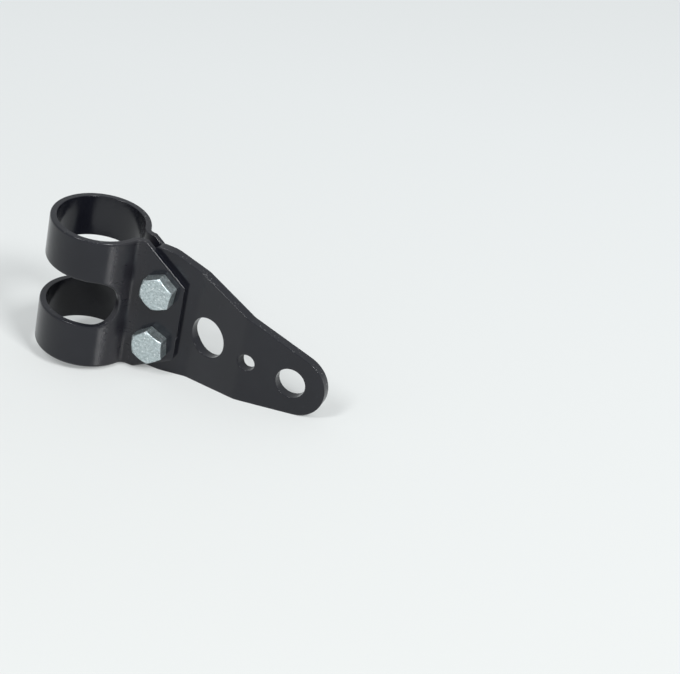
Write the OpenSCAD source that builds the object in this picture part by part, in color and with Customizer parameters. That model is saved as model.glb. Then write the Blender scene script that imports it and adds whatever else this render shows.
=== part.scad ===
// Light bracket: a folded double-ring clamp grips an upright tube, and a joggled
// plate arm is held between the clamp's two flanges by two hex bolts and nuts.
// The bore axis is Z and its foot is the origin. The arm reaches out along +X,
// and the bolt heads face -Y.

/* [Clamp] */
// Diameter of the upright tube that the rings grip
bore_d = 35; // [30:0.5:45]
// Thickness of the folded sheet
sheet_t = 2.6; // [1.5:0.1:3.5]
// Height of the whole clamp
clamp_h = 57.5; // [52:0.5:75]
// Height of the upper ring
upper_ring_h = 18.1; // [14:0.1:22]
// Height of the lower ring
lower_ring_h = 18.9; // [14:0.1:22]
// Radius of the slot's corners, up to a fully round end
slot_end_r = 10; // [4:0.5:12]
// Angle from the arm's plane to each end of the slot
slot_end_angle = 30; // [28:1:60]
// Outside radius of the fold between ring and flange
fold_r = 3; // [1:0.5:6]
// How far the webs beside the slot stand clear of the tube
web_relief = 0.1; // [0.05:0.05:0.3]

/* [Flanges] */
// Length of the flanges, from the end of the folds to their free edge
flange_len = 19.7; // [18.6:0.1:24]
// Straight edge left beside the fold, at the top
top_land = 0.8; // [0.2:0.1:4]
// How far the top edge falls to the free edge
top_drop = 13.6; // [6:0.1:15]
// Straight edge left beside the fold, at the bottom
bottom_land = 3; // [0.2:0.1:5]
// How far the bottom edge rises to the free edge
bottom_rise = 10; // [3:0.1:11]
// Radius of the lower free corner
flange_corner_r = 2.5; // [1:0.1:4]

/* [Arm] */
// Thickness of the arm's plate
arm_t = 4.2; // [3:0.1:6]
// Gap between the end of the folds and the arm's root edge
arm_setback = 2.5; // [1:0.1:4]
// How far the root's top edge lies under the clamp's top
root_inset_top = 1.4; // [0:0.1:3]
// How far the root's bottom edge lies over the clamp's foot
root_inset_bottom = 1.5; // [0:0.1:3]
// Radius of the root's two corners
root_corner_r = 4; // [1:0.5:6]
// Where the top edge starts to fall, past the root edge
top_shoulder = 9.4; // [8:0.2:16]
// Where the bottom edge starts to rise, past the root edge
bottom_shoulder = 17.6; // [14:0.2:22]
// Radius that softens both shoulders
shoulder_r = 16; // [6:1:20]
// Distance from the flanges' free edge to the centre of the round tip
arm_run = 53.1; // [49:0.1:70]
// Height of the tip's centre over the clamp's foot
tip_z = 23.9; // [20:0.1:34]
// Radius of the round tip
tip_r = 13.1; // [11:0.1:16]

/* [Joggle] */
// Gap between the flanges' free edge and the first bend
joggle_gap = 4.6; // [3:0.1:7]
// How far the bends carry the outer arm towards the bolt heads
joggle_offset = 7; // [4:0.1:8]
// Angle of the slope between the bends
joggle_angle = 16; // [14:1:20]
// Bend radius at the middle of the plate
joggle_r = 9.4; // [6:0.1:11]

/* [Arm holes] */
// Diameter of the large hole in the slope
big_hole_d = 16.7; // [12:0.1:18]
// Distance from the first bend's start to the large hole
big_hole_run = 8.8; // [7:0.1:11]
// Height of the large hole over the clamp's foot
big_hole_z = 26.2; // [24:0.1:30]
// Diameter of the small hole
small_hole_d = 7; // [4:0.1:9]
// Distance from the tip hole back to the small hole
small_hole_back = 19.3; // [17:0.1:20]
// Height of the small hole over the clamp's foot
small_hole_z = 25.4; // [22:0.1:30]
// Diameter of the tip hole
tip_hole_d = 12.5; // [8:0.1:14]
// Distance from the tip's centre back to the tip hole
tip_hole_back = 1.4; // [0:0.1:3]
// Height of the tip hole over the clamp's foot
tip_hole_z = 24.2; // [22:0.1:27]

/* [Bolts] */
// Nominal thread diameter
bolt_d = 8; // [6:0.5:9]
// Distance between the two bolts, one above the other
bolt_spacing = 25; // [20:0.5:26]
// Height of the point midway between the bolts
bolt_mid_z = 26.9; // [25:0.1:30]
// Distance from the flanges' free edge back to the bolts
bolt_edge = 9.9; // [9:0.1:10.5]
// Width across the flats of heads and nuts
hex_af = 13; // [11:0.5:15]
// Height of the bolt heads
head_h = 5.3; // [3:0.1:7]
// Height of the nuts
nut_h = 6.8; // [4:0.1:8]
// Length of the bolts under the head
bolt_len = 20; // [18:0.5:30]
// Radius at which the bevel on heads and nuts starts, as a share of half their width
bevel_share = 0.95; // [0.88:0.01:0.98]
// Clearance on the diameter of the bolt holes
bolt_hole_clear = 0.4; // [0.2:0.1:1]
// Clearance on the diameter between the bolts and the nuts
thread_clear = 0.1; // [0.05:0.05:0.3]
// Turn of the upper head about its bolt, in degrees
upper_turn = 24; // [0:1:59]
// Turn of the lower head about its bolt, in degrees
lower_turn = 38; // [0:1:59]

/* [Hidden] */
$fn = 96;
past = 1;
// Round corners reach this far over their sides, so that they cross them cleanly
ease = 0.002;

// Clamp: the sheet follows the bore, turns through the folds and ends in the flanges
ring_ri = bore_d / 2;
ring_ro = ring_ri + sheet_t;
flange_in = arm_t / 2;
flange_out = flange_in + sheet_t;
fold_y = flange_out + fold_r;
fold_x = sqrt(pow(ring_ro + fold_r, 2) - pow(fold_y, 2));
fold_a = asin(fold_y / (ring_ro + fold_r));
slot_z0 = lower_ring_h;
slot_h = clamp_h - lower_ring_h - upper_ring_h;
slot_r = min(slot_end_r, slot_h / 2 - 0.05);

// Flange outline, as X and Z
flange_reach = fold_x + flange_len;
top_x = fold_x + top_land;
bottom_x = fold_x + bottom_land;
top_corner = [flange_reach, clamp_h - top_drop];
bottom_corner = [flange_reach, bottom_rise];

// Arm: root, slope and outer length, in plan
root_x = fold_x + arm_setback;
root_z0 = root_inset_bottom;
root_z1 = clamp_h - root_inset_top;
tip_x = flange_reach + arm_run;
bend_x = flange_reach + joggle_gap;
bend_lead = joggle_r * tan(joggle_angle / 2);
bend_1 = [bend_x + bend_lead, 0];
bend_2 = bend_1 + [joggle_offset / tan(joggle_angle), -joggle_offset];
arm_end = tip_x + tip_r;

// Arm holes
big_hole_x = bend_x + big_hole_run;
big_hole_y = -(big_hole_x - bend_1.x) * tan(joggle_angle);
tip_hole_x = tip_x - tip_hole_back;
small_hole_x = tip_hole_x - small_hole_back;

// Bolts
bolt_x = flange_reach - bolt_edge;
bolt_zs = [bolt_mid_z + bolt_spacing / 2, bolt_mid_z - bolt_spacing / 2];
hex_r = hex_af / 2 / cos(30);
bevel_r = hex_af / 2 * bevel_share;
bolt_hole_r = (bolt_d + bolt_hole_clear) / 2;
shank_r = (bolt_d - thread_clear) / 2;
nut_bore_r = bolt_d / 2;
end_bevel = 0.8;
bevel_angle = 30;

function unit(v) = v / norm(v);

// Point where a line from p touches the circle (c, r), on the side given by turn
function touch(p, c, r, turn) =
    let (d = c - p, l = norm(d), a = asin(r / l), m = sqrt(l * l - r * r))
    let (b = atan2(d.y, d.x) + turn * a)
    p + m * [cos(b), sin(b)];

// Centre of the circle of radius r that touches both sides of the corner p
function corner_centre(a, p, b, r) =
    let (u = unit(a - p), v = unit(b - p))
    p + unit(u + v) * r / sin(acos(u * v) / 2);

// Point where that circle touches the side from p towards a
function corner_touch(a, p, b, r) =
    let (u = unit(a - p), v = unit(b - p))
    p + u * r / tan(acos(u * v) / 2);

// What comes off an outward corner p, between its neighbours a and b
module corner_waste(a, p, b, r) {
    c = corner_centre(a, p, b, r);
    grow = 1.3;
    difference() {
        polygon([c,
            c + grow * (corner_touch(a, p, b, r) - c),
            c + grow * (p - c),
            c + grow * (corner_touch(b, p, a, r) - c)]);
        translate(c) circle(r = r + ease);
    }
}

// What fills an inward corner p, reaching a little way into the metal behind it
module corner_fill(a, p, b, r) {
    c = corner_centre(a, p, b, r);
    difference() {
        polygon([c, corner_touch(a, p, b, r), p + unit(p - c) * past / 2, corner_touch(b, p, a, r)]);
        translate(c) circle(r = r + ease);
    }
}

// Stands a drawing in X and Z up, with its thickness centred on the arm's plane
module upright(depth) {
    rotate([90, 0, 0]) linear_extrude(depth, center = true) children();
}

// The hollow of one fold, which meets the ring and the flange without a corner
module fold_fill() {
    hub = [fold_x, -fold_y];
    difference() {
        polygon([hub,
            ring_ro * [cos(fold_a), -sin(fold_a)],
            [ring_ro * cos(fold_a), -(flange_in + flange_out) / 2],
            [fold_x, -flange_out]]);
        translate(hub) circle(r = fold_r + ease);
    }
}

// What comes off inside one fold, so that the sheet keeps its thickness there
module fold_waste() {
    hub = [fold_x, -fold_y];
    inside = ring_ri - past;
    difference() {
        polygon([hub,
            inside * [cos(fold_a), -sin(fold_a)],
            [inside * cos(fold_a), flange_in / 2],
            [fold_x, flange_in / 2]]);
        translate(hub) circle(r = fold_r + sheet_t + ease);
    }
}

// Draws a plan shape out to the clamp's full height
module tall() {
    linear_extrude(clamp_h) children();
}

// The folded sheet before anything is cut out of it
module clamp_sheet() {
    bar_x = ring_ri * cos(fold_a);
    difference() {
        union() {
            tall() difference() {
                circle(r = ring_ro);
                circle(r = ring_ri);
            }
            for (side = [0, 1])
                mirror([0, side, 0]) {
                    tall() translate([bar_x, -flange_out]) square([flange_reach - bar_x, sheet_t]);
                    tall() fold_fill();
                }
        }
        for (side = [0, 1])
            mirror([0, side, 0]) tall() fold_waste();
    }
}

// What stays of the sheet at one end of the slot, where the slot's corners are round
module slot_stop() {
    reach = ring_ro + past;
    mid = slot_z0 + slot_h / 2;
    rotate([90, 0, 90 + slot_end_angle]) {
        linear_extrude(reach)
            translate([-ring_ri / 2, slot_z0 - past]) square([ring_ri / 2, slot_h + 2 * past]);
        for (z = [slot_z0, slot_z0 + slot_h])
            linear_extrude(reach) corner_waste([ring_ri, z], [0, z], [0, mid], slot_r);
    }
}

module slot() {
    reach = ring_ro + past;
    difference() {
        translate([-reach, -reach, slot_z0])
            cube([reach + ring_ro * cos(slot_end_angle) + past / 2, 2 * reach, slot_h]);
        slot_stop();
        mirror([0, 1, 0]) slot_stop();
    }
}

// What comes off the flanges: both sloping edges and the lower free corner
module flange_waste() {
    top_fall = top_corner - [top_x, clamp_h];
    bottom_climb = bottom_corner - [bottom_x, 0];
    polygon([[top_x, clamp_h] - top_fall / norm(top_fall) * past,
        top_corner + top_fall / norm(top_fall) * past,
        [flange_reach + past, clamp_h + past],
        [top_x, clamp_h + past]]);
    polygon([[bottom_x, 0] - bottom_climb / norm(bottom_climb) * past,
        bottom_corner + bottom_climb / norm(bottom_climb) * past,
        [flange_reach + past, -past],
        [bottom_x, -past]]);
    corner_waste([bottom_x, 0], bottom_corner, top_corner, flange_corner_r);
}

// The webs are a little wider inside than the rings
module web_waste() {
    translate([0, 0, slot_z0 + slot_h / 4]) cylinder(r = ring_ri + web_relief, h = slot_h / 2);
}

module bolt_holes() {
    for (z = bolt_zs)
        translate([bolt_x, 0, z]) rotate([90, 0, 0])
            cylinder(r = bolt_hole_r, h = 2 * flange_out + 2 * past, center = true);
}

module clamp() {
    color("#2b2c2f")
        difference() {
            clamp_sheet();
            slot();
            web_waste();
            upright(2 * flange_out + 2 * past) flange_waste();
            bolt_holes();
        }
}

// The joggled plate before its outline is cut: root, bend, slope, bend and outer length
module arm_strip() {
    half = arm_t / 2;
    mitre = half * [tan(joggle_angle / 2), 1];
    root_front = [root_x, -half];
    root_back = [root_x, half];
    end_front = [arm_end, bend_2.y - half];
    end_back = [arm_end, bend_2.y + half];
    inner_r = joggle_r - half;
    outer_r = joggle_r + half;
    difference() {
        union() {
            tall() polygon([root_front, bend_1 - mitre, bend_2 - mitre, end_front,
                end_back, bend_2 + mitre, bend_1 + mitre, root_back]);
            tall() corner_fill(root_front, bend_1 - mitre, bend_2 - mitre, inner_r);
            tall() corner_fill(end_back, bend_2 + mitre, bend_1 + mitre, inner_r);
        }
        tall() corner_waste(root_back, bend_1 + mitre, bend_2 + mitre, outer_r);
        tall() corner_waste(end_front, bend_2 - mitre, bend_1 - mitre, outer_r);
    }
}

// The arm's outline from the front
module arm_face() {
    tip = [tip_x, tip_z];
    low_root = [root_x, root_z0];
    low_shoulder = [root_x + bottom_shoulder, root_z0];
    high_root = [root_x, root_z1];
    high_shoulder = [root_x + top_shoulder, root_z1];
    low_touch = touch(low_shoulder, tip, tip_r, -1);
    high_touch = touch(high_shoulder, tip, tip_r, 1);
    difference() {
        union() {
            polygon([low_root, low_shoulder, low_touch, tip, high_touch, high_shoulder, high_root]);
            translate(tip) circle(r = tip_r + ease);
        }
        corner_waste(low_shoulder, low_root, high_root, root_corner_r);
        corner_waste(high_shoulder, high_root, low_root, root_corner_r);
        corner_waste(low_root, low_shoulder, low_touch, shoulder_r);
        corner_waste(high_root, high_shoulder, high_touch, shoulder_r);
    }
}

module arm_holes() {
    deep = 4 * arm_t;
    translate([big_hole_x, big_hole_y, big_hole_z]) rotate([90, 0, -joggle_angle])
        cylinder(d = big_hole_d, h = deep, center = true);
    translate([small_hole_x, -joggle_offset, small_hole_z]) rotate([90, 0, 0])
        cylinder(d = small_hole_d, h = deep, center = true);
    translate([tip_hole_x, -joggle_offset, tip_hole_z]) rotate([90, 0, 0])
        cylinder(d = tip_hole_d, h = deep, center = true);
}

module arm() {
    color("#2f3033")
        difference() {
            intersection() {
                arm_strip();
                upright(2 * (joggle_offset + arm_t)) arm_face();
            }
            arm_holes();
            bolt_holes();
        }
}

// Hexagon of the given height with its corners bevelled at the far end
module hex_block(h, turn) {
    intersection() {
        rotate(turn) cylinder(r = hex_r, h = h, $fn = 6);
        bevel_cone(h);
    }
}

// The cone that bevels the corners: its small end lies just inside the flats
module bevel_cone(h) {
    cylinder(r1 = bevel_r + h / tan(bevel_angle), r2 = bevel_r, h = h);
}

// Bolt along +Z, from the head's outer face at the bottom to its bevelled end
module bolt(turn) {
    mirror([0, 0, 1]) hex_block(head_h, turn);
    cylinder(r = shank_r, h = bolt_len - end_bevel);
    translate([0, 0, bolt_len - end_bevel])
        cylinder(r1 = shank_r, r2 = shank_r - end_bevel, h = end_bevel);
}

module nut() {
    difference() {
        intersection() {
            hex_block(nut_h, 0);
            translate([0, 0, nut_h]) mirror([0, 0, 1]) bevel_cone(nut_h);
        }
        translate([0, 0, -past]) cylinder(r = nut_bore_r, h = nut_h + 2 * past);
    }
}

// Places a bolt or nut on the bolt axis at height z, facing +Y from the plane y
module on_axis(z, y) {
    translate([bolt_x, y, z]) rotate([-90, 0, 0]) children();
}

module bolt_upper() {
    color("#b4bac0") on_axis(bolt_zs[0], -flange_out) bolt(-upper_turn);
}

module bolt_lower() {
    color("#b4bac0") on_axis(bolt_zs[1], -flange_out) bolt(-lower_turn);
}

module nut_upper() {
    color("#a9b0b6") on_axis(bolt_zs[0], flange_out) nut();
}

module nut_lower() {
    color("#a9b0b6") on_axis(bolt_zs[1], flange_out) nut();
}

clamp();
arm();
bolt_upper();
bolt_lower();
nut_upper();
nut_lower();
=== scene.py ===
# %% [markdown]
# # A light bracket in black paint
# The bracket hangs a lamp beside an upright tube. A folded sheet makes two rings
# and two flanges, a flat arm steps sideways between two bends, and two plated
# bolts squeeze the flanges on the arm. The solid model already holds the sizes
# and the places, so this lesson makes what a solid model leaves out: softened
# edges, threads, paint, plating and light.

# %% Load the solid model
import math

import bmesh
import bpy
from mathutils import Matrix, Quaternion, Vector
from mathutils.geometry import delaunay_2d_cdt


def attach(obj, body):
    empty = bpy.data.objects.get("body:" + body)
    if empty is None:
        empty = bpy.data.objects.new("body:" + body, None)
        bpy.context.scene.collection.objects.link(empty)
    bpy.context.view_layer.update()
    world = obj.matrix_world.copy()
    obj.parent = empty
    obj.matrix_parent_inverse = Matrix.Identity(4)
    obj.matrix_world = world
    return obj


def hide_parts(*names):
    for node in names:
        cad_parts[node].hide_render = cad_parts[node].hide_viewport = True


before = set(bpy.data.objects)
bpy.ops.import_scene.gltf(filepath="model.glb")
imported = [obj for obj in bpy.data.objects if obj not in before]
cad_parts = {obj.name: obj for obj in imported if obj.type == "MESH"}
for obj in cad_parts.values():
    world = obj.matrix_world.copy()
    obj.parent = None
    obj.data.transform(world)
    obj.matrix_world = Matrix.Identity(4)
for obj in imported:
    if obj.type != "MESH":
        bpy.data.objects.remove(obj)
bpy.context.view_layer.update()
MM = 0.001
print("solid pieces:", sorted(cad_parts))

# %% [markdown]
# ## The camera
# A product photograph is taken from some way off with a long lens, so parallel
# edges stay nearly parallel. A camera can be aimed by eye, or worked out from
# edges whose sizes are known. The second way is used here: direction, roll,
# distance and focal length were solved together, and they are written down as
# an azimuth, an elevation and a roll about the view.

# %% Aim the camera
CAM_AZIMUTH = math.radians(16.081)
CAM_ELEVATION = math.radians(31.797)
CAM_ROLL = math.radians(12.939)
CAM_DISTANCE = 771.08 * MM
CAM_SLIDE = (-104.674 * MM, -0.865 * MM)
FOCAL_PIXELS = 1885.0
FRAME_WIDTH = 680
SENSOR = 36.0


def view_axes(azimuth, elevation, roll):
    """Right, up and backward directions of a camera that looks at the origin."""
    back = Vector((math.sin(azimuth) * math.cos(elevation),
                   -math.cos(azimuth) * math.cos(elevation),
                   math.sin(elevation)))
    level = Vector((math.cos(azimuth), math.sin(azimuth), 0))
    upward = back.cross(level)
    right = math.cos(roll) * level + math.sin(roll) * upward
    up = math.cos(roll) * upward - math.sin(roll) * level
    return right, up, back


right, up, back = view_axes(CAM_AZIMUTH, CAM_ELEVATION, CAM_ROLL)
camera = bpy.data.objects.new("camera", bpy.data.cameras.new("camera"))
bpy.context.scene.collection.objects.link(camera)
bpy.context.scene.camera = camera
camera.data.sensor_width = SENSOR
camera.data.lens = FOCAL_PIXELS / FRAME_WIDTH * SENSOR
camera.location = -CAM_SLIDE[0] * right - CAM_SLIDE[1] * up + CAM_DISTANCE * back
camera.rotation_mode = "QUATERNION"
aimed = back.to_track_quat("Z", "Y")
aimed_right = aimed @ Vector((1, 0, 0))
roll_left = math.atan2(aimed_right.cross(right).dot(back), aimed_right.dot(right))
camera.rotation_quaternion = Quaternion(back, roll_left) @ aimed
print("lens in mm:", round(camera.data.lens, 1))

# %% [markdown]
# ## How folded sheet is drawn
# Real brackets of this kind are blanked out of flat sheet, tumbled so that their
# edges lose their bite, and folded in a press. One could cut the folded form out
# of blocks, but the cuts would then leave razor edges. It is simpler to do what
# the workshop does: draw the flat blank, round its edges over while it is flat,
# slice it into narrow strips, and lay the strips along the folded line.

# %% Outlines
def arc(centre, radius, start, end, step=4.0):
    """Points on an arc; the angles are in degrees."""
    count = max(2, round(abs(end - start) / step))
    turns = [math.radians(start + (end - start) * i / count) for i in range(count + 1)]
    return [(centre[0] + radius * math.cos(t), centre[1] + radius * math.sin(t)) for t in turns]


def hole(centre, radius):
    """A round hole, drawn clockwise so that the metal lies on its left."""
    return arc(centre, radius, 360, 0)[:-1]


def softened(corners):
    """A closed outline from (x, z, radius) corners, each rounded to its radius."""
    points = []
    for i, (x, z, radius) in enumerate(corners):
        here = Vector((x, z))
        before = (Vector(corners[i - 1][:2]) - here).normalized()
        after = (Vector(corners[(i + 1) % len(corners)][:2]) - here).normalized()
        half = before.angle(after) / 2
        if radius == 0 or half > math.radians(89):
            points.append((x, z))
            continue
        centre = here + (before + after).normalized() * radius / math.sin(half)
        first = here + before * radius / math.tan(half) - centre
        last = here + after * radius / math.tan(half) - centre
        start = math.degrees(math.atan2(first.y, first.x))
        sweep = math.degrees(math.atan2(first.cross(last), first.dot(last)))
        points += arc(centre, radius, start, start + sweep)
    return points


# %% [markdown]
# ## Rounding the edges of the blank
# A punch draws the sheet down a little before it cuts, so the side that it came
# from has a wide soft roll along every edge, and the other side a small round.
# A bevel modifier can't make such a lopsided edge, and it struggles round holes.
# Here each outline is drawn again a little smaller at each level of the roll, so
# the walls are clean rows of quads. The direction that each point faces is kept
# with it, which later gives faultless reflections.

# %% Outlines that shrink
EDGE_LEVELS = 6
KEEN = 0.02 * MM


def shifted(loop, inset):
    """The loop moved towards its left, and the direction away from the metal."""
    moved, outward = [], []
    for i, point in enumerate(loop):
        here = Vector(point)
        ahead = (Vector(loop[(i + 1) % len(loop)]) - here).normalized()
        behind = (here - Vector(loop[i - 1])).normalized()
        left_a = Vector((-ahead.y, ahead.x))
        left_b = Vector((-behind.y, behind.x))
        mitre = (left_a + left_b) / (1 + left_a.dot(left_b))
        moved.append(here + mitre * inset)
        outward.append(-(left_a + left_b).normalized())
    return moved, outward


def steady(loop):
    """An outline whose curves are all wider than the roll."""
    return lambda inset: shifted(loop, inset)[0]


def cornered(corners):
    """An outline with small corners, which stay concentric until they are used up."""
    def at(inset):
        moved = shifted([corner[:2] for corner in corners], inset)[0]
        return softened([(p.x, p.y, max(corner[2] - inset, KEEN))
                         for p, corner in zip(moved, corners)])
    return at


# %% [markdown]
# ## Building the blank
# Each outline becomes a wall of rings, one for each level of its rounded edge, and
# two flat sides close the walls. A flat side with holes needs triangles. Delaunay
# triangles are used, because they come without slivers, and slivers show as dark
# streaks in glossy paint.

# %% Build the blank
SAME = 1e-7
WITH_HOLES = 2


def fill(bm, rings, side):
    """Closes a flat side of the blank with triangles between its outline and its holes."""
    verts = [vert for ring in rings for vert in ring]
    edges, first = [], 0
    for ring in rings:
        edges += [(first + i, first + (i + 1) % len(ring)) for i in range(len(ring))]
        first += len(ring)
    outside = list(range(len(rings[0])))
    made = delaunay_2d_cdt([vert.co.xy for vert in verts], edges, [outside], WITH_HOLES, SAME)
    faces, origins = made[2], made[3]
    for face in faces:
        bm.faces.new([verts[origins[i][0]] for i in face][::side])


def flat_blank(outlines, thickness, roll, edge):
    """A flat plate: X and Y are the drawing, Z is the thickness.

    The upper side has the roll, (width, depth), and the lower side a round of
    size edge. 'facing' keeps the normals and 'rim' says how near the edge is.
    """
    bm = bmesh.new()
    facing = bm.verts.layers.float_vector.new("facing")
    rim = bm.verts.layers.float.new("rim")
    turns = [math.pi / 2 * k / EDGE_LEVELS for k in range(EDGE_LEVELS + 1)]
    levels = [(1, a, *roll) for a in turns] + [(-1, a, edge, edge) for a in reversed(turns)]
    brims = {1: [], -1: []}
    for outline in outlines:
        outward = shifted(outline(0.0), 0.0)[1]
        rings = []
        for side, a, width, depth in levels:
            height = side * (thickness / 2 - depth * (1 - math.cos(a)))
            ring = []
            for point, out in zip(outline(width * (1 - math.sin(a))), outward):
                vert = bm.verts.new((point[0], point[1], height))
                across = out * depth * math.sin(a)
                vert[facing] = Vector((*across, side * width * math.cos(a))).normalized()
                vert[rim] = math.sin(a)
                ring.append(vert)
            rings.append(ring)
        count = len(outward)
        for upper, lower in zip(rings, rings[1:]):
            for i in range(count):
                j = (i + 1) % count
                bm.faces.new((upper[i], lower[i], lower[j], upper[j]))
        brims[1].append(rings[0])
        brims[-1].append(rings[-1])
    for side in (1, -1):
        fill(bm, brims[side], side)
    return bm


# %% [markdown]
# ## Slicing and folding
# A flat face can't bend, so the blank is first sliced across at every place where
# the folded line needs a new facet. The leftover diagonals of the flat faces are
# dissolved, which leaves one clean strip between each pair of slices. Then every
# point is carried to its place beside the folded line.

# %% Slice the blank
FLAT = 0.9999


def slice_across(bm, places):
    """Cuts the blank at each place along X and clears the diagonals of its flat faces."""
    for place in places:
        geometry = bm.verts[:] + bm.edges[:] + bm.faces[:]
        bmesh.ops.bisect_plane(bm, geom=geometry, dist=SAME,
                               plane_co=(place, 0, 0), plane_no=(1, 0, 0))
    bm.normal_update()
    spare = [e for e in bm.edges
             if len(e.link_faces) == 2
             and abs(e.verts[0].co.x - e.verts[1].co.x) > 10 * SAME
             and all(abs(f.normal.z) > FLAT for f in e.link_faces)]
    bmesh.ops.dissolve_edges(bm, edges=spare, use_verts=True)


# %% Fold the blank
def fold(bm, line, rubbed_and_lightened):
    """Lays the blank along line(s), which gives a place, a direction and the outward side.

    The third argument lists (from, to, fade) stretches of s that the press rubs and
    where the paint is painted lighter, a painted light for the folds; the layer made
    for them is 1 there and fades to 0 beside them.
    """
    facing = bm.verts.layers.float_vector["facing"]
    marks_and_fold_light = bm.verts.layers.float.new("rubbed_and_lightened")
    normals = []
    bm.verts.index_update()
    for vert in bm.verts:
        s, z, depth = vert.co
        vert[marks_and_fold_light] = max([0.0] + [1 - max(low - s, s - high, 0) / fade
                                    for low, high, fade in rubbed_and_lightened])
        place, along, outside = line(s)
        n = vert[facing]
        normals.append((along * n.x + Vector((0, 0, n.y)) + outside * n.z).normalized())
        vert.co = place + outside * depth + Vector((0, 0, z))
    return normals


# %% Hand a folded piece over
def finished(bm, name, normals, node):
    """Turns the folded blank into a piece that stands for its solid node."""
    mesh = bpy.data.meshes.new(name)
    bm.to_mesh(mesh)
    bm.free()
    mesh.shade_smooth()
    mesh.normals_split_custom_set_from_vertices(normals)
    piece = bpy.data.objects.new(name, mesh)
    bpy.context.scene.collection.objects.link(piece)
    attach(piece, "root")
    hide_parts(node)
    print(name, "has", len(mesh.polygons), "faces")
    return piece


# %% [markdown]
# ## The clamp
# The clamp is one strip of 2.6 mm sheet. It goes round a 35 mm tube, turns
# outwards through a tight fold on each side of the arm, and ends in two parallel
# flanges. A wide slot across its back leaves two rings, and its ends are round
# so that the sheet doesn't tear there. The flanges are trimmed to a taper.

# %% Sizes of the clamp
BORE_R = 17.5 * MM
SHEET = 2.6 * MM
CLAMP_H = 57.5 * MM
ARM_T = 4.2 * MM
FOLD_R = 3.0 * MM
FLANGE_LEN = 19.7 * MM
SLOT_LOW, SLOT_HIGH = 18.9 * MM, 39.4 * MM
SLOT_END_R = 10.0 * MM
SLOT_END_ANGLE = math.radians(30)
BOLT_Z = (39.4 * MM, 14.4 * MM)
BOLT_EDGE = 9.9 * MM
BOLT_HOLE_R = 4.2 * MM
SHEET_ROLL, SHEET_EDGE = (1.1 * MM, 0.45 * MM), 0.25 * MM

ring_r = BORE_R + SHEET / 2
flange_y = (ARM_T + SHEET) / 2
flange_out = ARM_T / 2 + SHEET
hub_r = BORE_R + SHEET + FOLD_R
fold_angle = math.asin((flange_out + FOLD_R) / hub_r)
fold_x = hub_r * math.cos(fold_angle)
bend_r = FOLD_R + SHEET / 2
ring_len = ring_r * (math.pi - fold_angle)
bend_len = bend_r * (math.pi / 2 - fold_angle)
flange_s = ring_len + bend_len
bolt_x = fold_x + FLANGE_LEN - BOLT_EDGE
print("flat length of the clamp's strip in mm:", round(2 * (flange_s + FLANGE_LEN) / MM, 1))


# %% [markdown]
# ## The clamp's folded line
# Seen from above, the middle of the sheet is a chain of arcs and straight
# stretches. One function answers where the sheet is at a distance s from the back
# of the rings, so the same blank could be laid along any other line as well.

# %% The clamp's folded line
def clamp_line(s):
    """Middle of the sheet at s from the back; positive s leads to the bolt heads' side."""
    side = 1 if s >= 0 else -1
    s = abs(s)
    if s <= ring_len:
        turn = math.pi + s / ring_r
        outside = Vector((math.cos(turn), math.sin(turn), 0))
        place = outside * ring_r
    elif s <= flange_s:
        turn = (math.pi / 2 - fold_angle) - (s - ring_len) / bend_r
        outside = Vector((math.sin(turn), -math.cos(turn), 0))
        place = Vector((fold_x, -(flange_out + FOLD_R), 0)) - outside * bend_r
    else:
        outside = Vector((0, -1, 0))
        place = Vector((fold_x + s - flange_s, -flange_y, 0))
    along = Vector((-outside.y, outside.x, 0))
    if side < 0:
        place.y, outside.y = -place.y, -outside.y
        along.x = -along.x
    return place, along, outside


# %% [markdown]
# ## The clamp's blank
# The blank is drawn flat: distance along the strip across, height upwards. The
# slot's round ends are round on the folded clamp as it is seen from the side, so
# each of their points is first wrapped on to the ring.

# %% Draw the clamp's blank
FLANGE_TOP_LAND, FLANGE_DROP = 0.8 * MM, 13.6 * MM
FLANGE_LOW_LAND, FLANGE_RISE = 3.0 * MM, 10.0 * MM
LOW_CORNER_R, TOP_CORNER_R, FREE_CORNER_R = 2.5 * MM, 1.2 * MM, 0.5 * MM


def slot_loop():
    """The slot between the rings, with round ends, drawn clockwise."""
    middle = (SLOT_LOW + SLOT_HIGH) / 2
    low = arc((SLOT_END_R, SLOT_LOW + SLOT_END_R), SLOT_END_R, 180, 270)
    high = arc((SLOT_END_R, SLOT_HIGH - SLOT_END_R), SLOT_END_R, 90, 180)
    right_end = []
    for u, z in high + low:
        turn = math.pi - SLOT_END_ANGLE - math.asin(min(1, u / ring_r))
        right_end.append((ring_r * turn, z))
    left_end = [(-s, 2 * middle - z) for s, z in right_end]
    return right_end + left_end


flange_end = flange_s + FLANGE_LEN
half = [(flange_s + FLANGE_LOW_LAND, 0, LOW_CORNER_R),
        (flange_end, FLANGE_RISE, LOW_CORNER_R),
        (flange_end, CLAMP_H - FLANGE_DROP, FREE_CORNER_R),
        (flange_s + FLANGE_TOP_LAND, CLAMP_H, TOP_CORNER_R)]
clamp_outline = cornered(half + [(-s, z, r) for s, z, r in reversed(half)])
bolt_s = flange_s + bolt_x - fold_x
clamp_holes = [steady(hole((sign * bolt_s, z), BOLT_HOLE_R)) for sign in (1, -1) for z in BOLT_Z]
clamp_blank = flat_blank([clamp_outline, steady(slot_loop())] + clamp_holes,
                         SHEET, SHEET_ROLL, SHEET_EDGE)
print("clamp's outline and holes:", 2 + len(clamp_holes), "loops")
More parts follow.
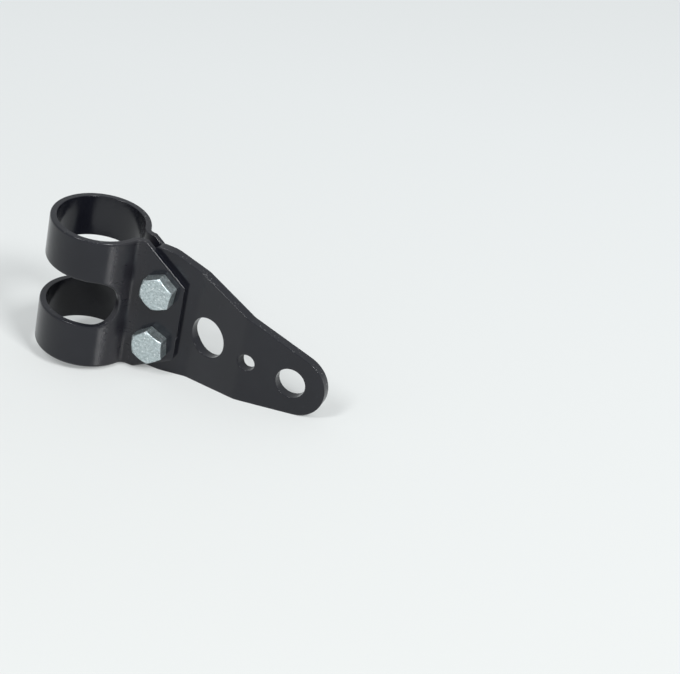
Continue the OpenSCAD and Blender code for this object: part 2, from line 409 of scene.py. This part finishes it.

# %% [markdown]
# ## Folding the clamp
# Round stretches are sliced finely and straight ones coarsely. The press rubs the
# sheet beside its folds, and those stretches also get painted light, a lighter tint
# for the folds, so they are noted for the paint.

# %% Slice and fold the clamp
RING_SLICES, FOLD_SLICES, FLANGE_SLICES = 78, 16, 12
ring_cuts = [ring_len * i / RING_SLICES for i in range(RING_SLICES + 1)]
fold_cuts = [ring_len + bend_len * i / FOLD_SLICES for i in range(1, FOLD_SLICES + 1)]
flange_cuts = [flange_s + FLANGE_LEN * i / FLANGE_SLICES for i in range(1, FLANGE_SLICES)]
half_cuts = ring_cuts + fold_cuts + flange_cuts
slice_across(clamp_blank, [-s for s in half_cuts[:0:-1]] + half_cuts)
# Beside the folds: press marks, and painted light that makes the paint lighter there.
RUBBED_AND_LIGHTENED_RING, CLAMP_FADE = 6.5 * MM, 3.0 * MM
front_fold = (ring_len - RUBBED_AND_LIGHTENED_RING, flange_s, CLAMP_FADE)
back_fold = (-flange_s, RUBBED_AND_LIGHTENED_RING - ring_len, CLAMP_FADE)
clamp_normals = fold(clamp_blank, clamp_line, [front_fold, back_fold])
clamp = finished(clamp_blank, "clamp_sheet", clamp_normals, "clamp")

# %% [markdown]
# ## The arm
# The arm is 4.2 mm plate, tall where the flanges grip it and tapering to a round
# tip. Just past the flanges it bends towards the bolt heads and back again, a
# joggle that carries the lamp 7 mm to the side. Its outline is drawn as it looks
# from the front, so distances along X are first turned into distances along the
# bent plate.

# %% Sizes of the arm
ARM_SETBACK = 2.5 * MM
ROOT_LOW, ROOT_HIGH = 1.5 * MM, 56.1 * MM
ROOT_CORNER_R, SHOULDER_R = 4.0 * MM, 16.0 * MM
TOP_SHOULDER, LOW_SHOULDER = 9.4 * MM, 17.6 * MM
TIP = Vector((fold_x + FLANGE_LEN + 53.1 * MM, 23.9 * MM))
TIP_R = 13.1 * MM
JOGGLE_GAP, JOGGLE_STEP, JOGGLE_R = 4.6 * MM, 7.0 * MM, 9.4 * MM
JOGGLE_ANGLE = math.radians(16)
ARM_ROLL, ARM_EDGE = (0.6 * MM, 0.24 * MM), 0.24 * MM

root_x = fold_x + ARM_SETBACK
bend_x = fold_x + FLANGE_LEN + JOGGLE_GAP
lead = JOGGLE_R * math.tan(JOGGLE_ANGLE / 2)
bend_arc = JOGGLE_R * JOGGLE_ANGLE
slope_len = JOGGLE_STEP / math.sin(JOGGLE_ANGLE) - 2 * lead
slope_from = bend_x + bend_arc
arm_marks = [0, bend_x, slope_from, slope_from + slope_len, bend_x + 2 * bend_arc + slope_len]
print("arm's bends start at mm:", [round(m / MM, 1) for m in arm_marks[1:]])


# %% [markdown]
# ## The arm's folded line
# The plate runs straight, bends, slopes, bends back and runs straight again. A
# joggle like this is pressed in one stroke, with both bends of the same radius.

# %% The arm's folded line
def arm_line(s):
    """Middle of the plate; s is the distance along it, and equals x up to the first bend."""
    def beside(place, turn):
        along = Vector((math.cos(turn), -math.sin(turn), 0))
        return place, along, Vector((along.y, -along.x, 0))

    start = Vector((bend_x, 0, 0))
    if s <= arm_marks[1]:
        return beside(Vector((s, 0, 0)), 0)
    if s <= arm_marks[2]:
        turn = (s - arm_marks[1]) / JOGGLE_R
        return beside(start + JOGGLE_R * Vector((math.sin(turn), math.cos(turn) - 1, 0)), turn)
    slope_start = start + JOGGLE_R * Vector(
        (math.sin(JOGGLE_ANGLE), math.cos(JOGGLE_ANGLE) - 1, 0))
    down = Vector((math.cos(JOGGLE_ANGLE), -math.sin(JOGGLE_ANGLE), 0))
    if s <= arm_marks[3]:
        return beside(slope_start + down * (s - arm_marks[2]), JOGGLE_ANGLE)
    slope_end = slope_start + down * slope_len
    left = min(1, (s - arm_marks[3]) / bend_arc) * JOGGLE_ANGLE
    turn = JOGGLE_ANGLE - left
    centre = slope_end + JOGGLE_R * Vector((math.sin(JOGGLE_ANGLE), math.cos(JOGGLE_ANGLE), 0))
    place = centre - JOGGLE_R * Vector((math.sin(turn), math.cos(turn), 0))
    if s > arm_marks[4]:
        place = place + Vector((s - arm_marks[4], 0, 0))
    return beside(place, turn)


# %% Distance along the arm
ARM_REACH, HALVINGS = 0.2, 40


def along_arm(x):
    """The distance along the plate at which its middle reaches x, found by halving."""
    low, high = 0.0, ARM_REACH
    for _ in range(HALVINGS):
        middle = (low + high) / 2
        low, high = (middle, high) if arm_line(middle)[0].x < x else (low, middle)
    return (low + high) / 2


print("arm's step in mm:", round(-arm_line(arm_marks[4])[0].y / MM, 3))

# %% [markdown]
# ## The arm's outline
# Both long edges run straight from a shoulder to the round tip, where they touch
# the circle. The touching point follows from a right-angled triangle. Long
# straight edges get points every few millimetres, because each point is moved
# separately when the plate bends.

# %% Helpers for the outline
def touching(point, turn):
    """Where a line from point touches the round tip; turn says on which side."""
    gap = TIP - point
    reach = math.sqrt(gap.length_squared - TIP_R ** 2)
    heading = math.atan2(gap.y, gap.x) + turn * math.asin(TIP_R / gap.length)
    return point + reach * Vector((math.cos(heading), math.sin(heading)))


def divided(points, step):
    """The same closed outline with extra points on its long stretches."""
    out = []
    for i, point in enumerate(points):
        here, there = Vector(point), Vector(points[(i + 1) % len(points)])
        count = max(1, math.ceil((there - here).length / step))
        out += [here.lerp(there, k / count) for k in range(count)]
    return out


# %% Draw the arm's outline
TIP_STEP, EDGE_STEP = 3.0, 1.5 * MM
low_shoulder = Vector((root_x + LOW_SHOULDER, ROOT_LOW))
high_shoulder = Vector((root_x + TOP_SHOULDER, ROOT_HIGH))
low_touch, high_touch = touching(low_shoulder, -1), touching(high_shoulder, 1)
from_tip = [math.degrees(math.atan2(*(p - TIP).yx)) for p in (low_touch, high_touch)]
body = softened([(root_x, ROOT_LOW, ROOT_CORNER_R), (*low_shoulder, SHOULDER_R),
                 (*low_touch, 0), (*high_touch, 0),
                 (*high_shoulder, SHOULDER_R), (root_x, ROOT_HIGH, ROOT_CORNER_R)])
cut = next(i for i, p in enumerate(body) if (Vector(p) - low_touch).length < SAME)
outline = body[:cut] + arc(TIP, TIP_R, *from_tip, TIP_STEP) + body[cut + 2:]
arm_outline = [(along_arm(x), z) for x, z in divided(outline, EDGE_STEP)]
print("arm's outline has", len(arm_outline), "points")

# %% [markdown]
# ## Holes, slices and bends of the arm
# Three round holes carry a lamp and its cable, and two smaller ones let the bolts
# through. They are punched in the flat plate, so the large hole, which lies on the
# slope, is bent with it.

# %% Punch, slice and fold the arm
BIG_HOLE = (bend_x + 8.8 * MM, 26.2 * MM, 8.35 * MM)
TIP_HOLE = (TIP.x - 1.4 * MM, 24.2 * MM, 6.25 * MM)
SMALL_HOLE = (TIP_HOLE[0] - 19.3 * MM, 25.4 * MM, 3.5 * MM)
arm_holes = [hole((along_arm(x), z), r) for x, z, r in (BIG_HOLE, SMALL_HOLE, TIP_HOLE)]
arm_holes += [hole((bolt_x, z), BOLT_HOLE_R) for z in BOLT_Z]
arm_blank = flat_blank([steady(loop) for loop in [arm_outline] + arm_holes],
                       ARM_T, ARM_ROLL, ARM_EDGE)

BEND_SLICES, FLAT_SLICES, FLAT_SLICE = 14, 27, 3 * MM
CLEAR_OF_BEND = 0.3 * MM
bend_cuts = [arm_marks[k] + bend_arc * i / BEND_SLICES
             for k in (1, 3) for i in range(BEND_SLICES + 1)]
flat_cuts = [along_arm(root_x + FLAT_SLICE * i) for i in range(1, FLAT_SLICES + 1)]
flat_cuts = [s for s in flat_cuts if all(abs(s - b) > CLEAR_OF_BEND for b in bend_cuts)]
slice_across(arm_blank, sorted(bend_cuts + flat_cuts))
arm_normals = fold(arm_blank, arm_line, [])
arm = finished(arm_blank, "arm_plate", arm_normals, "arm")

# %% [markdown]
# ## Bolts and nuts
# A forged hexagon head is bevelled at 30 degrees, so each flat ends in a shallow
# curve. The bevel could be cut with a boolean, but the same curve comes free if
# the head is turned like a lathe job: at each angle round the axis the profile
# runs from the middle, over the bevel, and stops at the flat of that angle.

# %% A hexagon turned like a lathe job
HEX_AF = 13.0 * MM
HEX_CORNER_R = 0.35 * MM
BEVEL_R = HEX_AF / 2 * 0.95
BEVEL_SLOPE = math.tan(math.radians(30))
HEX_EDGE = 0.16 * MM
HEX_STEP = 0.5 * MM
FACE_SHARE, BEVEL_LEAD = 0.99, 0.08
EDGE_IN, EDGE_DOWN = 0.3, 0.25


def hex_outline():
    """Angle and radius of points round a hexagon with slightly rounded corners."""
    tall = HEX_AF / 2 / math.cos(math.radians(30))
    turns = [math.radians(60 * k) for k in range(6)]
    corners = [(tall * math.cos(t), tall * math.sin(t), HEX_CORNER_R) for t in turns]
    points = divided(softened(corners), HEX_STEP)
    return [(math.atan2(p.y, p.x), p.length) for p in points]


def bevel_drop(radius):
    """How far the bevel has fallen at this radius."""
    return max(0.0, radius - BEVEL_R) * BEVEL_SLOPE


def bevelled_edge(radius, height):
    """Profile from the flat face over the bevel and down the side, its edge softened."""
    inner = radius - HEX_EDGE
    lead = BEVEL_R + (inner - BEVEL_R) * BEVEL_LEAD
    top = height - bevel_drop(radius)
    return [(BEVEL_R * FACE_SHARE, height),
            (lead, height - bevel_drop(lead)),
            (inner, height - bevel_drop(inner)),
            (radius - HEX_EDGE * EDGE_IN, top - HEX_EDGE * EDGE_DOWN),
            (radius, top - HEX_EDGE)]


# %% [markdown]
# ## Threads
# A thread is a ridge that climbs by one pitch in each turn. Here the surface of
# the shank is a fine grid, and each point's radius follows from how far it lies
# along the axis and how far round: the ridge then climbs by itself. M8 bolts have
# a pitch of 1.25 mm. The last turns die out in the bevel at the bolt's end.

# %% Thread profile
SHANK_R = 3.95 * MM
PITCH = 1.25 * MM
THREAD_DEPTH = 0.62 * MM
RIDGE_CREST, RIDGE_SLOPE = 1.25, 3.2
BOLT_LEN = 20.0 * MM
THREAD_FROM = 7.0 * MM
END_BEVEL = 0.8 * MM
THREAD_STEPS, AROUND = 156, 72


def thread_radius(along, turn):
    """Radius of the threaded shank at a distance from the head and an angle."""
    phase = (along / PITCH - turn / (2 * math.pi)) % 1.0
    ridge = min(1.0, max(0.0, RIDGE_CREST - abs(phase - 0.5) * RIDGE_SLOPE))
    fade = min(1.0, max(0.0, (along - THREAD_FROM) / PITCH))
    radius = SHANK_R - THREAD_DEPTH * fade * (1 - ridge)
    return min(radius, SHANK_R - max(0.0, along - (BOLT_LEN - END_BEVEL)))


# %% [markdown]
# ## Pieces on a bolt's axis
# Bolts and nuts are skins over rows of points, and each row is one turn round the
# axis. Faces that meet at an angle stay crisp, and round ones are shaded smooth.

# %% Place pieces on the bolt axis
def skin(bm, rows, closed=False):
    """Joins rows of points, each a closed ring, into a tube of quads."""
    pairs = list(zip(rows, rows[1:])) + ([(rows[-1], rows[0])] if closed else [])
    for first, second in pairs:
        for i in range(len(first)):
            j = (i + 1) % len(first)
            bm.faces.new((first[i], first[j], second[j], second[i]))


def on_bolt_axis(radius, turn, height, z, seat, way):
    """A point beside a bolt's axis: height is counted from the seat, along way in Y."""
    return (bolt_x + radius * math.cos(turn), seat + way * height, z + radius * math.sin(turn))


def metal_piece(bm, name, node):
    """Finishes a bolt or nut, with crisp edges where two faces meet at an angle."""
    bmesh.ops.recalc_face_normals(bm, faces=bm.faces)
    mesh = bpy.data.meshes.new(name)
    bm.to_mesh(mesh)
    bm.free()
    mesh.shade_smooth()
    mesh.set_sharp_from_angle(angle=math.radians(32))
    piece = bpy.data.objects.new(name, mesh)
    bpy.context.scene.collection.objects.link(piece)
    even = piece.modifiers.new("even_shading", "WEIGHTED_NORMAL")
    even.keep_sharp = True
    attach(piece, "root")
    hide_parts(node)
    print(name, "has", len(mesh.polygons), "faces")
    return piece


# %% [markdown]
# ## The bolts
# The head lies on the front flange, and its face is left bare. The shank is a
# skin of its own that starts at the seat, since a joint between head and shank
# is never seen.

# %% Make the bolts
HEAD_H = 5.3 * MM
FLANK_SHARE = 0.2
FACE_RINGS = (0.75, 0.4)


def make_bolt(name, node, z, head_turn):
    """Head on the front flange, shank through the arm and out of the nut."""
    bm = bmesh.new()
    seat = -flange_out
    outline = hex_outline()
    profiles = [[(r, 0.0), (r, HEAD_H * FLANK_SHARE)] + bevelled_edge(r, HEAD_H)[::-1]
                for _, r in outline]
    rows = []
    for level in range(len(profiles[0])):
        ring = []
        for (turn, _), profile in zip(outline, profiles):
            radius, height = profile[level]
            ring.append(bm.verts.new(on_bolt_axis(radius, turn + head_turn, height, z, seat, -1)))
        rows.append(ring)
    for share in FACE_RINGS:
        ring = [on_bolt_axis(BEVEL_R * share, turn + head_turn, HEAD_H, z, seat, -1)
                for turn, _ in outline]
        rows.append([bm.verts.new(point) for point in ring])
    skin(bm, rows)
    middle = bm.verts.new(on_bolt_axis(0, 0, HEAD_H, z, seat, -1))
    for i in range(len(outline)):
        bm.faces.new((rows[-1][i], rows[-1][(i + 1) % len(outline)], middle))
    bm.faces.new(rows[0])

    reach = BOLT_LEN - THREAD_FROM
    steps = [0.0] + [THREAD_FROM + reach * k / THREAD_STEPS for k in range(THREAD_STEPS + 1)]
    turns = [2 * math.pi * i / AROUND for i in range(AROUND)]
    shank = [[bm.verts.new(on_bolt_axis(thread_radius(s, t), t, s, z, seat, 1)) for t in turns]
             for s in steps]
    skin(bm, shank)
    bm.faces.new(shank[0])
    bm.faces.new(shank[-1])
    return metal_piece(bm, name, node)


UPPER_TURN, LOWER_TURN = math.radians(24), math.radians(38)
bolts = [make_bolt("bolt_upper_metal", "bolt_upper", BOLT_Z[0], UPPER_TURN),
         make_bolt("bolt_lower_metal", "bolt_lower", BOLT_Z[1], LOWER_TURN)]


# %% [markdown]
# ## The nuts
# A nut is one closed skin: down the bore, over one bevelled face, along the side
# and back over the other. The bolt fills the bore, so its thread isn't drawn.

# %% Make the nuts
NUT_H = 6.8 * MM
NUT_BORE_R, NUT_MOUTH_R = 4.0 * MM, 4.4 * MM


def make_nut(name, node, z):
    """A hexagon nut bevelled on both faces, with a countersunk bore."""
    bm = bmesh.new()
    outline = hex_outline()
    sink = NUT_MOUTH_R - NUT_BORE_R
    profiles = []
    for _, r in outline:
        over = bevelled_edge(r, NUT_H)
        under = [(radius, NUT_H - height) for radius, height in over[::-1]]
        inside = [(NUT_MOUTH_R, 0.0), (NUT_BORE_R, sink),
                  (NUT_BORE_R, NUT_H - sink), (NUT_MOUTH_R, NUT_H)]
        profiles.append(inside + over + under)
    rows = []
    for level in range(len(profiles[0])):
        ring = [on_bolt_axis(profile[level][0], turn, profile[level][1], z, flange_out, 1)
                for (turn, _), profile in zip(outline, profiles)]
        rows.append([bm.verts.new(point) for point in ring])
    skin(bm, rows, closed=True)
    return metal_piece(bm, name, node)


nuts = [make_nut("nut_upper_metal", "nut_upper", BOLT_Z[0]),
        make_nut("nut_lower_metal", "nut_lower", BOLT_Z[1])]

# %% [markdown]
# ## Helpers for materials
# A material is a small graph of nodes. Two helpers keep the graphs readable: one
# adds a node and sets its values, and the other joins two sockets. All textures
# read Object coordinates, which are metres here, so a texture scale of 1000 gives
# features about a millimetre across.

# %% Node helpers
def new_material(name):
    """An empty node material with its shader, output and coordinates."""
    material = bpy.data.materials.new(name)
    material.use_nodes = True
    tree = material.node_tree
    shader = tree.nodes["Principled BSDF"]
    where = tree.nodes.new("ShaderNodeTexCoord").outputs["Object"]
    return material, tree, shader, where


def add(tree, kind, **values):
    """A node of this kind; each value sets a property or, if there is none, an input."""
    node = tree.nodes.new("ShaderNode" + kind)
    for key, value in values.items():
        if hasattr(node, key):
            setattr(node, key, value)
        else:
            node.inputs[key.replace("_", " ")].default_value = value
    return node


def noise(tree, where, scale, detail=3.0, roughness=0.5):
    """Soft noise, 0 to 1."""
    node = add(tree, "TexNoise", Scale=scale, Detail=detail, Roughness=roughness)
    tree.links.new(where, node.inputs["Vector"])
    return node.outputs["Fac"]


def remap(tree, value, low, high, to_low=0.0, to_high=1.0):
    """Stretches the part of value between low and high over the range to_low to to_high."""
    node = add(tree, "MapRange", From_Min=low, From_Max=high, To_Min=to_low, To_Max=to_high)
    tree.links.new(value, node.inputs["Value"])
    return node.outputs["Result"]


def math_node(tree, operation, first, second):
    """One sum on two values, each a socket or a number."""
    node = add(tree, "Math", operation=operation)
    for socket, value in zip(node.inputs, (first, second)):
        if isinstance(value, (int, float)):
            socket.default_value = value
        else:
            tree.links.new(value, socket)
    return node.outputs[0]


def mix_colour(tree, factor, first, second):
    """A blend of two colours, each a socket or three numbers."""
    node = add(tree, "Mix", data_type="RGBA")
    tree.links.new(factor, node.inputs[0])
    for socket, value in ((node.inputs[6], first), (node.inputs[7], second)):
        if isinstance(value, tuple):
            socket.default_value = (*value, 1.0)
        else:
            tree.links.new(value, socket)
    return node.outputs[2]


def bump(tree, height, distance, below=None):
    """A bump whose full height is distance in metres, added to the one below it."""
    node = add(tree, "Bump", Strength=1.0, Distance=distance)
    tree.links.new(height, node.inputs["Height"])
    if below is not None:
        tree.links.new(below, node.inputs["Normal"])
    return node.outputs["Normal"]


# %% [markdown]
# ## Worn edges
# Where painted parts knock together, the paint chips on the edges first. Painting
# the chips by hand would work for one view only. The blank marked its own rounded
# rim, so noise that is kept to the rim chips every edge, and a few specks of dust
# in the film are added on the faces.

# %% Worn places
NICKED, SPECKED = 0.75, 0.35


def worn_places(tree, where):
    """How pale the paint is, 0 to 1: nicks on the edges and a few specks elsewhere."""
    rim = add(tree, "Attribute", attribute_name="rim").outputs["Fac"]
    on_rim = remap(tree, rim, 0.70, 0.96)
    small = remap(tree, noise(tree, where, scale=900, detail=5, roughness=0.65), 0.60, 0.68)
    patchy = remap(tree, noise(tree, where, scale=110, detail=2), 0.46, 0.60)
    nicks = math_node(tree, "MULTIPLY", math_node(tree, "MULTIPLY", small, patchy), on_rim)
    specks = remap(tree, noise(tree, where, scale=1500, detail=2, roughness=0.4), 0.765, 0.80)
    return math_node(tree, "MAXIMUM", math_node(tree, "MULTIPLY", nicks, NICKED),
                     math_node(tree, "MULTIPLY", specks, SPECKED))


# %% [markdown]
# ## Marks of the press, and painted light in the folds
# The tools that folded the sheet rubbed fine level lines beside the folds, which
# still show through the paint. Real scratches would be hard to cut. Noise that is
# drawn out along the level gives the same look, on the stretches that the folding
# step noted. The same mask also lightens the paint's tint there, which is painted
# light: it stands in for the brighter look of the folds, whose gloss would
# otherwise mirror the dark flange.

# %% Pressed marks
DRAWN_OUT = (0.2, 0.2, 1.0)


def press_marks_and_fold_light(tree, where):
    """Fine level lines, 0 to 1, beside the folds; the paint also uses them for painted light, a
    lighter tint in the folds.
    """
    rubbed_and_lightened = add(tree, "Attribute", attribute_name="rubbed_and_lightened").outputs["Fac"]
    drawn = add(tree, "Mapping", Scale=DRAWN_OUT)
    tree.links.new(where, drawn.inputs["Vector"])
    lines = noise(tree, drawn.outputs["Vector"], scale=1700, detail=3, roughness=0.6)
    return math_node(tree, "MULTIPLY", rubbed_and_lightened, remap(tree, lines, 0.35, 0.65, 0.6, 1.0))


# %% [markdown]
# ## Black paint
# The paint is near black and lies between satin and gloss. One flat black would
# look like plastic, so its tint is slightly cloudy, its gloss changes from place
# to place, and the film has a faint orange peel, as sprayed paint has.

# %% Paint
PAINT_DARK, PAINT_LIGHT = (0.0062, 0.0067, 0.0104), (0.0100, 0.0107, 0.0152)
# The next line's first colour is partly the tone of rubbed paint and partly painted light: a
# lighter tint for the folds.
PAINT_RUBBED_AND_LIGHTENED, PAINT_WORN = (0.0150, 0.0146, 0.0185), (0.16, 0.162, 0.165)
PAINT_ROUGH = (0.15, 0.21)
DULL_WORN, DULL_PRESSED = 0.3, 0.17
PAINT_IOR = 1.43
PEEL_H, CHIP_H = 0.03 * MM, 0.03 * MM
GRAIN_H, LINE_H = 0.003 * MM, 0.003 * MM


def black_paint():
    """Near-black paint with a cloudy tint, press marks and painted light in the folds, nicks,
    uneven gloss and orange peel.
    """
    material, tree, shader, where = new_material("black_paint")
    pale, marks_and_fold_light = worn_places(tree, where), press_marks_and_fold_light(tree, where)

    cloudy = remap(tree, noise(tree, where, scale=55, detail=4), 0.3, 0.7)
    tint = mix_colour(tree, cloudy, PAINT_DARK, PAINT_LIGHT)
    # Painted light: the stretches beside the folds get a lighter tint.
    tint = mix_colour(tree, marks_and_fold_light, tint, PAINT_RUBBED_AND_LIGHTENED)
    tree.links.new(mix_colour(tree, pale, tint, PAINT_WORN), shader.inputs["Base Color"])

    gloss = remap(tree, noise(tree, where, scale=150, detail=4), 0.3, 0.7, *PAINT_ROUGH)
    dull = math_node(tree, "MAXIMUM", math_node(tree, "MULTIPLY", pale, DULL_WORN),
                     math_node(tree, "MULTIPLY", marks_and_fold_light, DULL_PRESSED))
    tree.links.new(math_node(tree, "ADD", gloss, dull), shader.inputs["Roughness"])
    shader.inputs["IOR"].default_value = PAINT_IOR

    peel = bump(tree, noise(tree, where, scale=420, detail=2, roughness=0.4), PEEL_H)
    grain = bump(tree, noise(tree, where, scale=2600, detail=3, roughness=0.6), GRAIN_H, peel)
    lines = bump(tree, marks_and_fold_light, LINE_H, grain)
    chips = bump(tree, math_node(tree, "SUBTRACT", 1.0, pale), CHIP_H, lines)
    tree.links.new(chips, shader.inputs["Normal"])
    return material


# %% [markdown]
# ## Zinc plating
# Bolts and nuts are plated with bright blue-white zinc. It is a metal, so its
# colour is in its reflections. Plating is slightly cloudy, and the forging below it
# leaves shallow dimples. A few tiny spots are given a brighter colour, which is
# painted light: painted glints that stand in for crystals catching the lamps.
# Deeper dimples would sparkle more, but from close by they look like crumpled foil.

# %% Plating
ZINC_DARK, ZINC_LIGHT = (0.365, 0.430, 0.442), (0.610, 0.685, 0.700)
ZINC_PAINTED_GLINT = (0.88, 0.92, 0.93)
ZINC_METALLIC, ZINC_ROUGH = 0.92, (0.30, 0.50)
DIMPLE_H, CRYSTAL_H = 0.045 * MM, 0.010 * MM


def zinc_plate():
    """Bright cloudy plating over a finely dimpled forging, with a few painted glints."""
    material, tree, shader, where = new_material("zinc_plate")
    cloudy = remap(tree, noise(tree, where, scale=900, detail=4, roughness=0.7), 0.40, 0.60)
    # Painted glints: a few tiny spots get a brighter colour, which stands in for sparkle.
    painted_glints = remap(tree, noise(tree, where, scale=1100, detail=1, roughness=0.4), 0.64, 0.70)
    colour = mix_colour(tree, cloudy, ZINC_DARK, ZINC_LIGHT)
    tree.links.new(mix_colour(tree, painted_glints, colour, ZINC_PAINTED_GLINT), shader.inputs["Base Color"])
    shader.inputs["Metallic"].default_value = ZINC_METALLIC
    gloss = remap(tree, noise(tree, where, scale=500, detail=3), 0.3, 0.7, *ZINC_ROUGH)
    tree.links.new(gloss, shader.inputs["Roughness"])

    dents = remap(tree, noise(tree, where, scale=900, detail=3, roughness=0.55), 0.40, 0.66)
    dimples = bump(tree, dents, DIMPLE_H)
    fine = noise(tree, where, scale=3200, detail=3, roughness=0.6)
    tree.links.new(bump(tree, fine, CRYSTAL_H, dimples), shader.inputs["Normal"])
    return material


# %% Paint and plate the pieces
paint, plating = black_paint(), zinc_plate()
for piece in (clamp, arm):
    piece.data.materials.append(paint)
for piece in bolts + nuts:
    piece.data.materials.append(plating)
print("materials:", paint.name, plating.name)

# %% [markdown]
# ## The table
# Set down on a table, the bracket can't stand on its clamp, because the arm is
# heavier. It tips forward until the arm's tip touches down, and rests there and
# on the low corner of its flanges. The model keeps its own upright frame, so the
# table is tilted under it by the same angle instead.

# %% Tilt and place the table
rest_x = fold_x + FLANGE_LOW_LAND
span = Vector((TIP.x - rest_x, TIP.y))
TABLE_TILT = math.atan2(span.y, span.x) - math.asin(TIP_R / span.length)
table_x = Vector((math.cos(TABLE_TILT), 0, math.sin(TABLE_TILT)))
table_y = Vector((0, 1, 0))
table_up = table_x.cross(table_y)
print("the table leans by degrees:", round(math.degrees(TABLE_TILT), 2))


def over_table(x, y, height):
    """A point counted from the clamp's resting corner, along the table and above it."""
    return Vector((rest_x, 0, 0)) + table_x * x + table_y * y + table_up * height


TABLE_HALF = 6.0
signs = ((-1, -1), (1, -1), (1, 1), (-1, 1))
corners = [over_table(sx * TABLE_HALF, sy * TABLE_HALF, 0) for sx, sy in signs]
table_mesh = bpy.data.meshes.new("table")
table_mesh.from_pydata(corners, [], [(0, 1, 2, 3)])
table = bpy.data.objects.new("table", table_mesh)
bpy.context.scene.collection.objects.link(table)


# %% [markdown]
# ## A pale table without more light
# A studio table looks nearly white, but lamps strong enough for that would wash
# out the paint. So a share of the table's brightness is a glow that only the eye
# and reflections can see, and that lights nothing. The rest is an ordinary pale
# surface and takes the bracket's shadow. It mirrors the lamps only in the
# reflections on the bracket, since to the eye that would be a burnt-out patch.

# %% Table top
# The far side is painted brighter and bluer than the near side. The brighter part is painted
# light, which evens out the fall-off of the lamps' light across the table; the blue is a tint.
TABLE_NEAR, TABLE_FAR = (0.732, 0.750, 0.745), (0.768, 0.791, 0.795)
TABLE_FADE = (-0.12, 0.30)
TABLE_GLOW = 0.32
TABLE_ROUGH = (0.12, 0.42)
TABLE_MIRROR = (0.50, 0.0)


def seen_rays(tree):
    """Masks for rays straight from the eye, and for all rays that show a thing to it."""
    rays = add(tree, "LightPath").outputs
    straight = rays["Is Camera Ray"]
    seen = math_node(tree, "MAXIMUM", straight, rays["Is Glossy Ray"])
    return straight, math_node(tree, "MAXIMUM", seen, rays["Is Transmission Ray"])


def table_top():
    """A pale surface, painted brighter from near to far as painted light and bluer as a tint;
    number pairs are for mirrored and direct views.
    """
    material, tree, shader, where = new_material("table_top")
    straight, seen = seen_rays(tree)
    place = add(tree, "SeparateXYZ")
    tree.links.new(where, place.inputs[0])
    away = remap(tree, place.outputs["Y"], *TABLE_FADE)
    pale = mix_colour(tree, away, TABLE_NEAR, TABLE_FAR)
    glow = math_node(tree, "MULTIPLY", seen, TABLE_GLOW)
    tree.links.new(mix_colour(tree, glow, pale, (0.0, 0.0, 0.0)), shader.inputs["Base Color"])
    tree.links.new(pale, shader.inputs["Emission Color"])
    tree.links.new(glow, shader.inputs["Emission Strength"])
    rough = remap(tree, straight, 0, 1, *TABLE_ROUGH)
    mirror = remap(tree, straight, 0, 1, *TABLE_MIRROR)
    tree.links.new(rough, shader.inputs["Roughness"])
    tree.links.new(mirror, shader.inputs["Specular IOR Level"])
    return material


table_mesh.materials.append(table_top())
print("the table glows with this share of its colour:", TABLE_GLOW)

# %% [markdown]
# ## The room
# The room is one even colour, which fills the shadows. To the eye it is a little
# brighter than as a light, so that low views meet a pale background too.

# %% Room
ROOM_COLOUR = (0.93, 0.965, 0.975)
ROOM_LIGHT, ROOM_SEEN = 0.48, 0.68
world = bpy.data.worlds.new("pale_room")
bpy.context.scene.world = world
world.use_nodes = True
room_tree = world.node_tree
room = room_tree.nodes["Background"]
room.inputs["Color"].default_value = (*ROOM_COLOUR, 1)
_, seen = seen_rays(room_tree)
room_tree.links.new(remap(room_tree, seen, 0, 1, ROOM_LIGHT, ROOM_SEEN), room.inputs["Strength"])
print("the room's strength as a light and to the eye:", ROOM_LIGHT, ROOM_SEEN)

# %% [markdown]
# ## Light
# Small glossy things are lit with large soft lamps, since what one sees on them
# is mostly the lamps' reflection. The key panel, high in front, gives the plain
# light on the flat faces. The side panel is mirrored in the table and then in the
# rings, which draws the upright band beside the fold. Both stand far off, so the
# table is lit evenly.

# %% Lamps
LAMP_DISTANCE = 2.4
AIM_ALONG, AIM_OVER = 20 * MM, 30 * MM
aim = over_table(AIM_ALONG, 0, AIM_OVER)


def panel(name, azimuth, elevation, width, height, radiance):
    """A soft lamp that faces the bracket; azimuth 0 is the front and 90 the right."""
    turn, rise = math.radians(azimuth), math.radians(elevation)
    lamp = bpy.data.objects.new(name, bpy.data.lights.new(name, "AREA"))
    lamp.data.shape = "RECTANGLE"
    lamp.data.size, lamp.data.size_y = width, height
    lamp.data.energy = radiance * math.pi * width * height
    place = aim + LAMP_DISTANCE * (table_x * math.sin(turn) * math.cos(rise)
                                   - table_y * math.cos(turn) * math.cos(rise)
                                   + table_up * math.sin(rise))
    lamp.location = place
    lamp.rotation_mode = "QUATERNION"
    lamp.rotation_quaternion = (aim - place).to_track_quat("-Z", "Y")
    bpy.context.scene.collection.objects.link(lamp)
    print(name, "panel, watts:", round(lamp.data.energy, 1))


panel("key", -20, 54, 0.40, 0.84, 19.0)
panel("side", 59, 40, 0.56, 0.60, 41.0)

# %% [markdown]
# ## Finish
# The colours are shown as they were mixed, so the plain Standard view is used.

# %% View
bpy.context.scene.view_settings.view_transform = "Standard"
